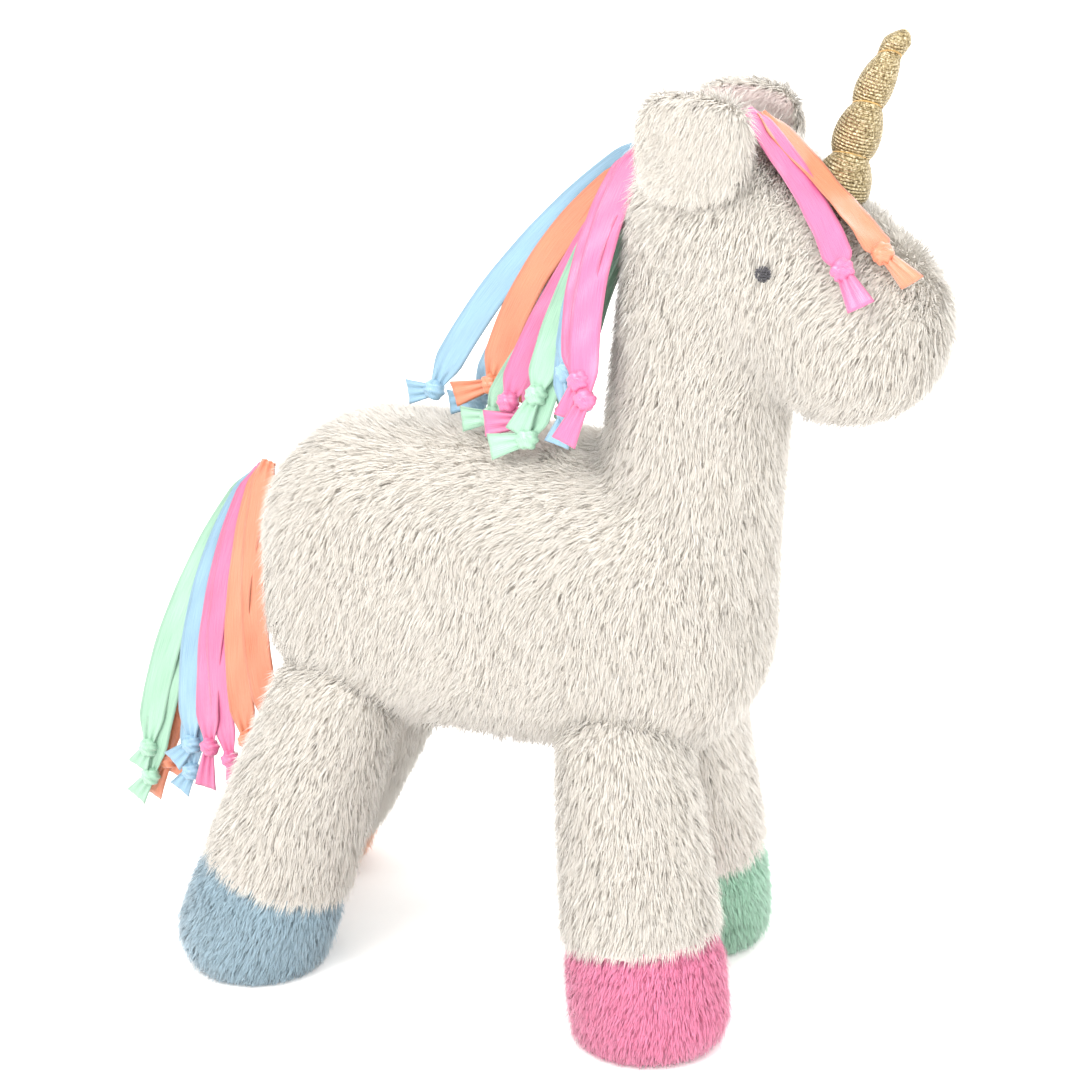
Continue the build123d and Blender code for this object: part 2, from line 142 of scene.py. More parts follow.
def pile_material(name, tints, root, roughness=0.85, sheen=0.35):
    """Fibres: the tint changes from fibre to fibre, and painted shade makes each fibre darker towards its
    root.
    """
    material, tree, shader = new_material(name)
    uv = add_node(tree, "ShaderNodeUVMap", uv_map="OFBake")
    parts = add_node(tree, "ShaderNodeSeparateXYZ")
    tint = add_node(tree, "ShaderNodeValToRGB")
    set_ramp(tint, [(i / (len(tints) - 1), c) for i, c in enumerate(tints)])
    # painted shade: each fibre darkens from tip to root, standing in for the shade deep in the pile; root
    # sets how dark
    depth = add_node(tree, "ShaderNodeValToRGB")
    painted_root_shade = (root, root * 0.97, root * 0.94, 1)
    set_ramp(depth, [(0.0, painted_root_shade), (0.55, (0.95, 0.95, 0.95, 1)), (1.0, (1, 1, 1, 1))])
    mix = add_node(tree, "ShaderNodeMix", data_type="RGBA", blend_type="MULTIPLY")
    mix.inputs[0].default_value = 1.0
    tree.links.new(uv.outputs["UV"], parts.inputs["Vector"])
    tree.links.new(parts.outputs["X"], tint.inputs["Fac"])
    tree.links.new(parts.outputs["Y"], depth.inputs["Fac"])
    tree.links.new(tint.outputs["Color"], mix.inputs[6])
    tree.links.new(depth.outputs["Color"], mix.inputs[7])
    tree.links.new(mix.outputs[2], shader.inputs["Base Color"])
    shader.inputs["Roughness"].default_value = roughness
    shader.inputs["Sheen Weight"].default_value = sheen
    shader.inputs["Sheen Roughness"].default_value = 0.5
    shader.inputs["Specular IOR Level"].default_value = 0.25
    # light passes through the fine fibres
    through = add_node(tree, "ShaderNodeBsdfTranslucent")
    blend_in = add_node(tree, "ShaderNodeMixShader", Fac=0.30)
    tree.links.new(mix.outputs[2], through.inputs["Color"])
    tree.links.new(shader.outputs["BSDF"], blend_in.inputs[1])
    tree.links.new(through.outputs["BSDF"], blend_in.inputs[2])
    tree.links.new(blend_in.outputs["Shader"], tree.nodes["Material Output"].inputs["Surface"])
    return material


def cloth_material(name, light, dark, scale=900.0, bump=0.4):
    """Knitted backing cloth under a pile: mottled colour with a fine bump."""
    material, tree, shader = new_material(name)
    place = add_node(tree, "ShaderNodeTexCoord")
    noise = add_node(tree, "ShaderNodeTexNoise", Scale=60.0, Detail=4.0)
    ramp = add_node(tree, "ShaderNodeValToRGB")
    set_ramp(ramp, [(0.3, dark), (0.7, light)])
    fine = add_node(tree, "ShaderNodeTexNoise", Scale=scale, Detail=2.0)
    height = add_node(tree, "ShaderNodeBump", Strength=bump, Distance=0.0006)
    tree.links.new(place.outputs["Object"], noise.inputs["Vector"])
    tree.links.new(place.outputs["Object"], fine.inputs["Vector"])
    tree.links.new(noise.outputs["Fac"], ramp.inputs["Fac"])
    tree.links.new(ramp.outputs["Color"], shader.inputs["Base Color"])
    tree.links.new(fine.outputs["Fac"], height.inputs["Height"])
    tree.links.new(height.outputs["Normal"], shader.inputs["Normal"])
    shader.inputs["Roughness"].default_value = 0.9
    shader.inputs["Sheen Weight"].default_value = 0.3
    return material


def satin_material(name, colour):
    """Satin ribbon: fine lengthwise threads with a soft streaked gloss, colour streaks that are partly the
    threads' tone and partly painted sheen, and a stitched picot edge.
    """
    material, tree, shader = new_material(name)
    uv = add_node(tree, "ShaderNodeUVMap", uv_map="OFBake")
    stretch = add_node(tree, "ShaderNodeMapping")
    stretch.inputs["Scale"].default_value = (46.0, 3.0, 1.0)
    threads = add_node(tree, "ShaderNodeTexNoise", Scale=3.0, Detail=3.0)
    # lighter and darker lengthwise streaks of colour: partly the threads' own tone, partly painted sheen
    body = add_node(tree, "ShaderNodeValToRGB")
    set_ramp(body, [(0.3, shade(colour, 0.86)), (0.7, shade(colour, 1.12))])
    parts = add_node(tree, "ShaderNodeSeparateXYZ")
    edge = add_node(tree, "ShaderNodeValToRGB")
    rim = (0.80, 0.80, 0.80, 1)
    full = (1, 1, 1, 1)
    set_ramp(edge, [(0.0, rim), (0.085, rim), (0.10, full), (0.90, full), (0.915, rim), (1.0, rim)])
    mix = add_node(tree, "ShaderNodeMix", data_type="RGBA", blend_type="MULTIPLY")
    mix.inputs[0].default_value = 1.0
    bump = add_node(tree, "ShaderNodeBump", Strength=0.25, Distance=0.0003)
    gloss = add_node(tree, "ShaderNodeMapRange")
    gloss.inputs["To Min"].default_value = 0.20
    gloss.inputs["To Max"].default_value = 0.36
    tree.links.new(uv.outputs["UV"], stretch.inputs["Vector"])
    tree.links.new(stretch.outputs["Vector"], threads.inputs["Vector"])
    tree.links.new(threads.outputs["Fac"], body.inputs["Fac"])
    tree.links.new(uv.outputs["UV"], parts.inputs["Vector"])
    tree.links.new(parts.outputs["X"], edge.inputs["Fac"])
    tree.links.new(body.outputs["Color"], mix.inputs[6])
    tree.links.new(edge.outputs["Color"], mix.inputs[7])
    tree.links.new(mix.outputs[2], shader.inputs["Base Color"])
    tree.links.new(threads.outputs["Fac"], bump.inputs["Height"])
    tree.links.new(bump.outputs["Normal"], shader.inputs["Normal"])
    tree.links.new(threads.outputs["Fac"], gloss.inputs["Value"])
    tree.links.new(gloss.outputs["Result"], shader.inputs["Roughness"])
    shader.inputs["Anisotropic"].default_value = 0.75
    shader.inputs["Sheen Weight"].default_value = 0.25
    shader.inputs["Specular IOR Level"].default_value = 0.9
    return material


def gold_material(name):
    """Gold rib-knit shot with metal thread: rib lines across the horn and a fine glitter."""
    material, tree, shader = new_material(name)
    uv = add_node(tree, "ShaderNodeUVMap", uv_map="OFBake")
    place = add_node(tree, "ShaderNodeTexCoord")
    parts = add_node(tree, "ShaderNodeSeparateXYZ")
    ribs = add_node(tree, "ShaderNodeMath", operation="MULTIPLY")
    ribs.inputs[1].default_value = 340.0
    wave = add_node(tree, "ShaderNodeMath", operation="SINE")
    glitter = add_node(tree, "ShaderNodeTexVoronoi", Scale=1500.0)
    patches = add_node(tree, "ShaderNodeTexNoise", Scale=1400.0, Detail=3.0)
    ramp = add_node(tree, "ShaderNodeValToRGB")
    dark, middle, light = linear(96, 82, 56), linear(156, 140, 104), linear(214, 202, 172)
    set_ramp(ramp, [(0.3, dark), (0.5, middle), (0.7, light)])
    total = add_node(tree, "ShaderNodeMath", operation="MULTIPLY_ADD")
    total.inputs[1].default_value = 0.5
    bump = add_node(tree, "ShaderNodeBump", Strength=0.7, Distance=0.0005)
    gloss = add_node(tree, "ShaderNodeMapRange")
    gloss.inputs["To Min"].default_value = 0.22
    gloss.inputs["To Max"].default_value = 0.5
    tree.links.new(uv.outputs["UV"], parts.inputs["Vector"])
    tree.links.new(parts.outputs["Y"], ribs.inputs[0])
    tree.links.new(ribs.outputs["Value"], wave.inputs[0])
    tree.links.new(place.outputs["Object"], glitter.inputs["Vector"])
    tree.links.new(place.outputs["Object"], patches.inputs["Vector"])
    tree.links.new(patches.outputs["Fac"], ramp.inputs["Fac"])
    tree.links.new(ramp.outputs["Color"], shader.inputs["Base Color"])
    tree.links.new(wave.outputs["Value"], total.inputs[0])
    tree.links.new(glitter.outputs["Distance"], total.inputs[2])
    tree.links.new(total.outputs["Value"], bump.inputs["Height"])
    tree.links.new(bump.outputs["Normal"], shader.inputs["Normal"])
    tree.links.new(patches.outputs["Fac"], gloss.inputs["Value"])
    tree.links.new(gloss.outputs["Result"], shader.inputs["Roughness"])
    shader.inputs["Metallic"].default_value = 0.8
    return material


WHITE = [
    linear(242, 238, 230),
    linear(236, 231, 222),
    linear(245, 241, 235),
    linear(230, 223, 213),
    linear(240, 235, 227),
]
LINING = [linear(252, 240, 236), linear(246, 228, 224), linear(254, 246, 243)]
HOOF_YARNS = {
    "pink": linear(250, 152, 188),
    "mint": linear(176, 219, 194),
    "blue": linear(175, 200, 213),
    "orange": linear(255, 190, 150),
}
RIBBON_DYES = {
    "pink": linear(200, 92, 138),
    "mint": linear(138, 180, 154),
    "blue": linear(122, 160, 184),
    "orange": linear(204, 116, 80),
}
# the last number of each pile_material call sets how dark the painted shade at the fibres' roots is
white_pile = pile_material("white_pile", WHITE, 0.96)
white_cloth = cloth_material("white_backing", linear(250, 247, 242), linear(243, 239, 232))
lining_pile = pile_material("ear_lining_fibres", LINING, 0.92)
lining_cloth = cloth_material("ear_lining_pile", LINING[0], LINING[1], 1400.0, 0.8)
hoof_pile = {}
hoof_cloth = {}
satin = {}
for shade_name, colour in HOOF_YARNS.items():
    tints = [colour, shade(colour, 0.86), shade(colour, 1.18), shade(colour, 0.95)]
    hoof_pile[shade_name] = pile_material(f"{shade_name}_pile", tints, 0.86)
    hoof_cloth[shade_name] = cloth_material(f"{shade_name}_backing", colour, shade(colour, 0.8))
    satin[shade_name] = satin_material(f"{shade_name}_satin", RIBBON_DYES[shade_name])
gold = gold_material("gold_rib_knit")
charcoal = cloth_material("charcoal_thread", linear(74, 72, 78), linear(44, 42, 48), 2600.0, 0.9)
gold_thread = cloth_material("gold_thread", linear(214, 176, 104), linear(150, 112, 56), 2600.0, 0.9)


# ---- Mesh tools ----
def make_object(name, verts, faces, material, uv=None, smooth=True, normals=None):
    """faces is a list of index arrays, each of shape (n, corners)."""
    mesh = bpy.data.meshes.new(name)
    verts = np.asarray(verts, np.float32)
    faces = [np.asarray(f, np.int32) for f in faces if len(f)]
    corners = np.concatenate([f.ravel() for f in faces])
    totals = np.concatenate([np.full(len(f), f.shape[1], np.int32) for f in faces])
    starts = np.concatenate([[0], np.cumsum(totals)[:-1]]).astype(np.int32)
    mesh.vertices.add(len(verts))
    mesh.vertices.foreach_set("co", verts.ravel())
    mesh.loops.add(len(corners))
    mesh.loops.foreach_set("vertex_index", corners)
    mesh.polygons.add(len(totals))
    mesh.polygons.foreach_set("loop_start", starts)
    mesh.update(calc_edges=True)
    mesh.polygons.foreach_set("use_smooth", np.full(len(totals), smooth))
    if uv is not None:
        layer = mesh.uv_layers.new(name="OFBake")
        layer.data.foreach_set("uv", np.asarray(uv, np.float32)[corners].ravel())
    if normals is not None:
        mesh.normals_split_custom_set_from_vertices(np.asarray(normals, np.float32))
    mesh.materials.append(material)
    obj = bpy.data.objects.new(name, mesh)
    bpy.context.scene.collection.objects.link(obj)
    return obj


def grid_faces(rows, columns, wrap):
    """Quads of a grid of rows by columns points, closed sideways when wrap is true."""
    last = columns if wrap else columns - 1
    r, c = np.meshgrid(np.arange(rows - 1), np.arange(last), indexing="ij")
    n = (c + 1) % columns
    low, high = r * columns, (r + 1) * columns
    return np.stack([low + c, low + n, high + n, high + c], -1).reshape(-1, 4)


def basis(direction, hint=(0.0, 1.0, 0.0)):
    """Two directions across the given one, and that one at length 1."""
    d = unit(direction)
    a = unit(np.cross(hint, d))
    return a, np.cross(d, a), d


def lathe(origin, direction, profile, segments=48):
    """A closed solid of revolution: profile is (radius, height) from one pole to the other, metres."""
    a, b, d = basis(direction)
    angles = np.linspace(0, 2 * math.pi, segments, endpoint=False)
    rings = []
    for radius, height in profile:
        ring = np.cos(angles)[:, None] * a + np.sin(angles)[:, None] * b
        rings.append(origin + ring * max(radius, 1e-6) + d * height)
    return np.concatenate(rings), grid_faces(len(profile), segments, True)


def capsule_profile(ra, rb, length, steps=10):
    """Two round ends, of radius ra and rb, that are length apart."""
    low = [(ra * math.sin(t), -ra * math.cos(t)) for t in np.linspace(0.02, math.pi / 2, steps)]
    turns = np.linspace(0.02, math.pi / 2 - 0.02, steps)
    high = [(rb * math.cos(t), length + rb * math.sin(t)) for t in turns]
    return low + high


def rounded_box(centre, size, radius, count=20):
    """Six grids pushed out to the surface of a box with round edges."""
    half = np.array(size) / 2
    line = np.linspace(-1, 1, count)
    u, v = np.meshgrid(line, line, indexing="ij")
    verts, faces = [], []
    for axis in range(3):
        for sign in (-1, 1):
            p = np.zeros((count * count, 3))
            p[:, axis] = sign
            p[:, (axis + 1) % 3] = u.ravel()
            p[:, (axis + 2) % 3] = v.ravel()
            p = p * half
            core = np.clip(p, -(half - radius), half - radius)
            p = core + unit(p - core) * radius
            f = grid_faces(count, count, False) + len(verts) * count * count
            faces.append(f if sign > 0 else f[:, ::-1])
            verts.append(p + centre)
    return np.concatenate(verts), np.concatenate(faces)


def merged(parts):
    """Several (points, faces) as one."""
    verts, faces, start = [], [], 0
    for v, f in parts:
        verts.append(v)
        faces.append(f + start)
        start += len(v)
    return np.concatenate(verts), np.concatenate(faces)


def evaluated(obj):
    """A new mesh of obj with its modifiers applied."""
    graph = bpy.context.evaluated_depsgraph_get()
    graph.update()
    return bpy.data.meshes.new_from_object(obj.evaluated_get(graph), depsgraph=graph)


def sewn_form(name, parts, voxel, rounds, material):
    """One closed cloth skin over overlapping forms: voxel remesh, then smoothing."""
    verts, faces = merged(parts)
    obj = make_object(name, verts, [faces], material)
    remesh = obj.modifiers.new("remesh", "REMESH")
    remesh.mode = "VOXEL"
    remesh.voxel_size = voxel
    remesh.use_smooth_shade = True
    smooth = obj.modifiers.new("smooth", "SMOOTH")
    smooth.factor = 0.5
    smooth.iterations = rounds
    mesh = evaluated(obj)
    obj.modifiers.clear()
    obj.data = mesh
    obj.data.materials.clear()
    obj.data.materials.append(material)
    return obj


def coordinates(obj):
    co = np.zeros(len(obj.data.vertices) * 3, np.float32)
    obj.data.vertices.foreach_get("co", co)
    return co.reshape(-1, 3).astype(float)


def set_coordinates(obj, co):
    obj.data.vertices.foreach_set("co", co.astype(np.float32).ravel())
    obj.data.update()


def vertex_normals(obj):
    n = np.zeros(len(obj.data.vertices) * 3, np.float32)
    obj.data.vertices.foreach_get("normal", n)
    return n.reshape(-1, 3).astype(float)


def inflate(obj, held, cap, pressure=4.0, frames=20):
    """Stuffs a sewn skin: cloth under pressure, held along its seams, each point moving at most cap."""
    before = coordinates(obj)
    group = obj.vertex_groups.new(name="seams")
    for index, weight in enumerate(held):
        if weight > 0.02:
            group.add([index], float(weight), "REPLACE")
    cloth = obj.modifiers.new("cloth", "CLOTH")
    settings = cloth.settings
    settings.quality = 5
    settings.mass = 0.15
    settings.tension_stiffness = 12
    settings.compression_stiffness = 12
    settings.shear_stiffness = 5
    settings.bending_stiffness = 0.5
    settings.use_pressure = True
    settings.uniform_pressure_force = pressure
    settings.vertex_group_mass = "seams"
    settings.pin_stiffness = 1.0
    settings.effector_weights.gravity = 0
    cloth.point_cache.frame_start = 1
    cloth.point_cache.frame_end = frames
    for number in range(1, frames + 1):
        bpy.context.scene.frame_set(number)
    mesh = evaluated(obj)
    after = np.zeros(len(mesh.vertices) * 3, np.float32)
    mesh.vertices.foreach_get("co", after)
    after = after.reshape(-1, 3).astype(float)
    obj.modifiers.clear()
    bpy.data.meshes.remove(mesh)
    bpy.context.scene.frame_set(1)
    move = after - before
    size = np.linalg.norm(move, axis=1, keepdims=True)
    set_coordinates(obj, before + move * np.minimum(1, cap / np.maximum(size, 1e-9)))


# ---- Pile: fibres grown from a sewn skin ----
def waves(p, seed, period):
    """A smooth pseudo-random field with three components."""
    local = np.random.default_rng(seed)
    out = np.zeros((len(p), 3))
    for _ in range(6):
        k = local.normal(size=(3, 3)) * (2 * math.pi / period) * 0.55
        phase = local.uniform(0, 2 * math.pi, 3)
        out += np.sin(p @ k.T + phase)
    return out / 6


TUFT_PULL, TUFT_FIBRES = 0.26, 14
FLOOR_CLEARANCE = 0.0004


def grow_pile(name, skin, count, length, material, comb, keep, width=0.38, lift=0.66, floor=True):
    """Fibres combed over a skin, gathered in soft tufts. keep says which roots grow."""
    mesh = skin.data
    mesh.calc_loop_triangles()
    tri = np.zeros(len(mesh.loop_triangles) * 3, np.int32)
    mesh.loop_triangles.foreach_get("vertices", tri)
    tri = tri.reshape(-1, 3)
    co = coordinates(skin)
    no = vertex_normals(skin)
    a, b, c = co[tri[:, 0]], co[tri[:, 1]], co[tri[:, 2]]
    area = np.linalg.norm(np.cross(b - a, c - a), axis=1)
    pick = rng.choice(len(tri), count, p=area / area.sum())
    u, v = rng.random(count), rng.random(count)
    fold = u + v > 1
    u[fold], v[fold] = 1 - u[fold], 1 - v[fold]
    w = 1 - u - v
    p = a[pick] * w[:, None] + b[pick] * u[:, None] + c[pick] * v[:, None]
    first, second, third = tri[pick].T
    n = unit(no[first] * w[:, None] + no[second] * u[:, None] + no[third] * v[:, None])
    chosen = keep(p, n)
    p, n = p[chosen], n[chosen]
    count = len(p)
    way = comb(p, n) + 0.5 * waves(p, 11, 0.05) + 0.45 * waves(p, 12, 0.014)
    way = way - n * (way * n).sum(1)[:, None]
    way = unit(way + rng.normal(size=p.shape) * 0.16)
    size = length * MM * rng.uniform(0.7, 1.15, count)[:, None]
    steps = np.array([0.0, 0.52, 1.0])
    rise = lift * (1.75 * steps - 0.75 * steps**2)
    run = 0.22 * steps + 0.5 * steps**2
    stray = rng.normal(size=p.shape) * 0.10
    path = [p + size * (n * rise[k] + way * run[k] + stray * steps[k] ** 2) for k in range(3)]
    path = np.stack(path, 1)
    leaders = rng.choice(count, max(1, count // TUFT_FIBRES), replace=False)
    tree = KDTree(len(leaders))
    for i, leader in enumerate(leaders):
        tree.insert(p[leader], i)
    tree.balance()
    nearest = leaders[np.array([tree.find(x)[1] for x in p])]
    tight = TUFT_PULL * rng.uniform(0.4, 1.25, count)
    for k in range(1, 3):
        target = path[nearest, k]
        path[:, k] += (target - path[:, k]) * np.clip(tight * steps[k] ** 1.2, 0, 0.95)[:, None]
    along = unit(path[:, 2] - path[:, 0])
    side = unit(np.cross(along, n))
    roll = rng.uniform(-0.6, 0.6, count)[:, None]
    side = side * np.cos(roll) + n * np.sin(roll)
    half = width * MM / 2 * rng.uniform(0.7, 1.25, count)[:, None]
    verts = np.zeros((count, 5, 3))
    for k, share in enumerate((1.0, 0.85)):
        verts[:, 2 * k] = path[:, k] - side * half * share
        verts[:, 2 * k + 1] = path[:, k] + side * half * share
    verts[:, 4] = path[:, 2]
    if floor:
        verts[:, :, 2] = np.maximum(verts[:, :, 2], FLOOR_CLEARANCE)
    start = np.arange(count)[:, None] * 5
    quads = start + np.array([[0, 1, 3, 2]])
    tips = start + np.array([[2, 3, 4]])
    # the fibres are lit as the round pile that they make, not as flat blades
    soft = unit(n - 0.35 * np.cross(side, along) + 0.25 * along)
    soft = np.repeat(soft, 5, 0)
    tint = rng.random(count)
    uv = np.zeros((count, 5, 2))
    uv[:, :, 0] = tint[:, None]
    uv[:, :, 1] = np.array([0.01, 0.01, 0.52, 0.52, 0.99])
    points, uv = verts.reshape(-1, 3), uv.reshape(-1, 2)
    return make_object(name, points, [quads, tips], material, uv, normals=soft)


def comb_down(p, n):
    """Down the sides, and outwards and back over the top."""
    way = np.zeros_like(p)
    way[:, 2] = -1.0
    way[:, 1] = np.tanh(p[:, 1] / 0.030) * 0.30
    way[:, 0] = -0.15 - 0.5 * np.clip(n[:, 2], 0, 1)
    return way


# ---- Body: torso, neck and head in one sewn skin that bends at the neck ----
def head_axis_distance(p):
    """How far each point is from the line between the head's two round ends."""
    a, b = on_middle(CRANIUM), on_middle(MUZZLE)
    t = np.clip(((p - a) @ (b - a)) / ((b - a) @ (b - a)), 0, 1)
    return np.linalg.norm(p - (a + t[:, None] * (b - a)), axis=1)


def capsule(a, b, ra, rb):
    return lathe(a, b - a, capsule_profile(ra, rb, float(np.linalg.norm(b - a))))


BODY_VOXEL, LEG_VOXEL = 0.0042, 0.0034
BODY_SWELL, LEG_SWELL = 0.0035, 0.003  # the furthest that the stuffing pushes each skin out
inner = PILE * MM
torso_size = [side * MM - 2 * inner for side in (TORSO_LENGTH, TORSO_WIDTH, TORSO_DEPTH)]
neck_foot_radius, neck_radius = (NECK_RADIUS + 2) * MM - inner, NECK_RADIUS * MM - inner
head_radius = HEAD_RADIUS * MM - inner
body_parts = [
    rounded_box(at(0, 0, TORSO_MIDDLE), torso_size, TORSO_CORNER * MM - inner),
    capsule(on_middle(SHOULDER), on_middle(NECK_HEAD), neck_foot_radius, neck_radius),
    capsule(on_middle(CRANIUM), on_middle(MUZZLE), head_radius, head_radius),
]
body = sewn_form("plush_body_skin", body_parts, BODY_VOXEL, 9, white_cloth)
BELLY_SEAM, HEAD_SEAM = 0.024, 0.013  # how far the gussets' seams lie from the middle
co = coordinates(body)
x_mm, z_mm = co[:, 0] / MM - SHIFT, co[:, 2] / MM
off_middle = np.abs(co[:, 1])
seam_back = np.exp(-((co[:, 1] / 0.004) ** 2)) * ((x_mm < 60) & (z_mm > 110) & (z_mm < 330))
seam_belly = np.exp(-(((off_middle - BELLY_SEAM) / 0.004) ** 2)) * (z_mm < 108)
gusset = (np.abs(off_middle - HEAD_SEAM) < 0.004) & (z_mm > 262) & (head_axis_distance(co) > 0.024)
seam_head = np.exp(-(((off_middle - HEAD_SEAM) / 0.003) ** 2)) * gusset
throat = np.exp(-(((z_mm - 226 + (x_mm - 75) * 0.12) / 5.0) ** 2)) * (x_mm > 96) * 0.6
body_held = np.clip(seam_back + seam_belly + seam_head + throat, 0, 1)
inflate(body, body_held, BODY_SWELL)
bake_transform(body)
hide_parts("torso_stuffing", "belly_gusset", "torso_side_left", "torso_side_right")
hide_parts("head_neck_side_left", "head_neck_side_right", "head_gusset")
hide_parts("head_stuffing", "neck_stuffing")


def comb_body(p, n):
    """Down and back on the body, and out and back from the middle of the face."""
    way = comb_down(p, n)
    x, z = p[:, 0] / MM - SHIFT, p[:, 2] / MM
    face = np.clip((x - 96) / 30, 0, 1) * np.clip((z - 222) / 12, 0, 1)
    away = unit(p - at(158, 0, 276))
    return way * (1 - 0.25 * face[:, None]) + away * face[:, None] * 0.4


BODY_FIBRES = 240000
BODY_PILE_LENGTH, HOOF_PILE_LENGTH = 8.0, 6.0
HORN_GAP = 0.0085  # no pile grows where the horn stands in the skin
NECK_LOW, HEAD_LOW, HEAD_BACK = 220, 258, 84
ZONE_EDGES = {"rump": (-200, -55), "hindquarter": (-55, -5), "flank": (-5, 42), "chest": (42, 200)}


def in_zone(p, zone_name):
    """Which roots belong to a zone of the body, the horn's place left out."""
    x, z = p[:, 0] / MM - SHIFT, p[:, 2] / MM
    clear = np.linalg.norm(p - on_middle(HORN_FOOT), axis=1) > HORN_GAP
    head = (z >= HEAD_LOW) & (x > HEAD_BACK)
    if zone_name == "head":
        return head & clear
    if zone_name == "neck":
        return (z >= NECK_LOW) & ~head & clear
    low, high = ZONE_EDGES[zone_name]
    return (z < NECK_LOW) & (x >= low) & (x < high) & clear


for zone_name in (*ZONE_EDGES, "neck", "head"):
    fur = grow_pile(
        f"plush_body_pile_{zone_name}",
        body,
        BODY_FIBRES,
        BODY_PILE_LENGTH,
        white_pile,
        comb_body,
        keep=lambda p, n, zone_name=zone_name: in_zone(p, zone_name),
    )
    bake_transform(fur)


# ---- Legs: a skin from the hip down, with a coloured cuff for a hoof ----
LEG_FIBRES = 52000
HOOF_CORNER, SOLE_DEPTH, SOLE_CLEARANCE = 0.013, 0.004, 0.0006
BURIED = 0.010  # how deep in the body a leg's pile still grows


def outside_body(p):
    """Which points lie outside the torso, or only just in it."""
    corner = TORSO_CORNER * MM
    half = np.array([TORSO_LENGTH, TORSO_WIDTH, TORSO_DEPTH]) / 2 * MM
    q = np.abs(p - at(0, 0, TORSO_MIDDLE)) - (half - corner)
    depth = np.linalg.norm(np.maximum(q, 0), axis=1) + np.minimum(q.max(1), 0) - corner
    return depth > -BURIED


for name, (hip_x, foot_x, foot_y) in LEGS.items():
    side = -1 if name.endswith("right") else 1
    hip = at(hip_x, side * HIP_SPREAD, HIP_HEIGHT)
    foot = at(foot_x, side * foot_y, 0)
    down = unit(foot - hip)
    reach = float(np.linalg.norm(foot - hip))
    top, wide = (HIP_RADIUS + 1.5) * MM - inner, FOOT_RADIUS * MM - inner
    seam = reach - HOOF_HEIGHT * MM
    profile = [(top * math.sin(t), -top * math.cos(t)) for t in np.linspace(0.02, math.pi / 2, 8)]
    profile += [(top + (wide - top) * t, seam * t) for t in np.linspace(0.1, 0.94, 7)]
    # drawn in at the hoof's seam, then a little wider than the leg down to a round sole edge
    profile += [(wide - 0.0022, seam), (wide + 0.0006, seam + 0.006), (wide + 0.001, seam + 0.014)]
    end = reach + SOLE_DEPTH
    for t in np.linspace(0, math.pi / 2 - 0.05, 7):
        edge = wide + 0.001 - HOOF_CORNER * (1 - math.cos(t))
        profile.append((edge, end - HOOF_CORNER + HOOF_CORNER * math.sin(t)))
    profile.append((0.0, end))
    leg = sewn_form(f"leg_{name}_sewn_skin", [lathe(hip, down, profile)], LEG_VOXEL, 4, white_cloth)
    leg.data.materials.append(hoof_cloth[HOOF_COLOURS[name]])
    co = coordinates(leg)
    along = (co - hip) @ down
    held = np.exp(-(((along - seam) / 0.0035) ** 2))
    held = np.clip(held + (co[:, 2] < 0.004), 0, 1)
    inflate(leg, held, LEG_SWELL)
    co = coordinates(leg)
    co[:, 2] = np.maximum(co[:, 2], SOLE_CLEARANCE)
    set_coordinates(leg, co)
    centres = np.zeros(len(leg.data.polygons) * 3, np.float32)
    leg.data.polygons.foreach_get("center", centres)
    centres = centres.reshape(-1, 3)
    leg.data.polygons.foreach_set("material_index", ((centres - hip) @ down > seam).astype(np.int32))

    def comb_leg(p, n, down=down):
        return comb_down(p, n) * 0.4 + down[None, :]

    coat = grow_pile(
        f"leg_{name}_pile",
        leg,
        LEG_FIBRES,
        BODY_PILE_LENGTH,
        white_pile,
        comb_leg,
        keep=lambda p, n: ((p - hip) @ down < seam - 0.0030) & outside_body(p),
    )
    cuff = grow_pile(
        f"leg_{name}_hoof_pile",
        leg,
        LEG_FIBRES,
        HOOF_PILE_LENGTH,
        hoof_pile[HOOF_COLOURS[name]],
        comb_leg,
        keep=lambda p, n: ((p - hip) @ down >= seam) & (p[:, 2] > 0.002),
        lift=0.6,
    )
    for piece in (leg, coat, cuff):
        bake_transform(piece)
    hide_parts(f"leg_{name}_skin", f"leg_{name}_hoof", f"leg_{name}_sole", f"leg_{name}_stuffing")

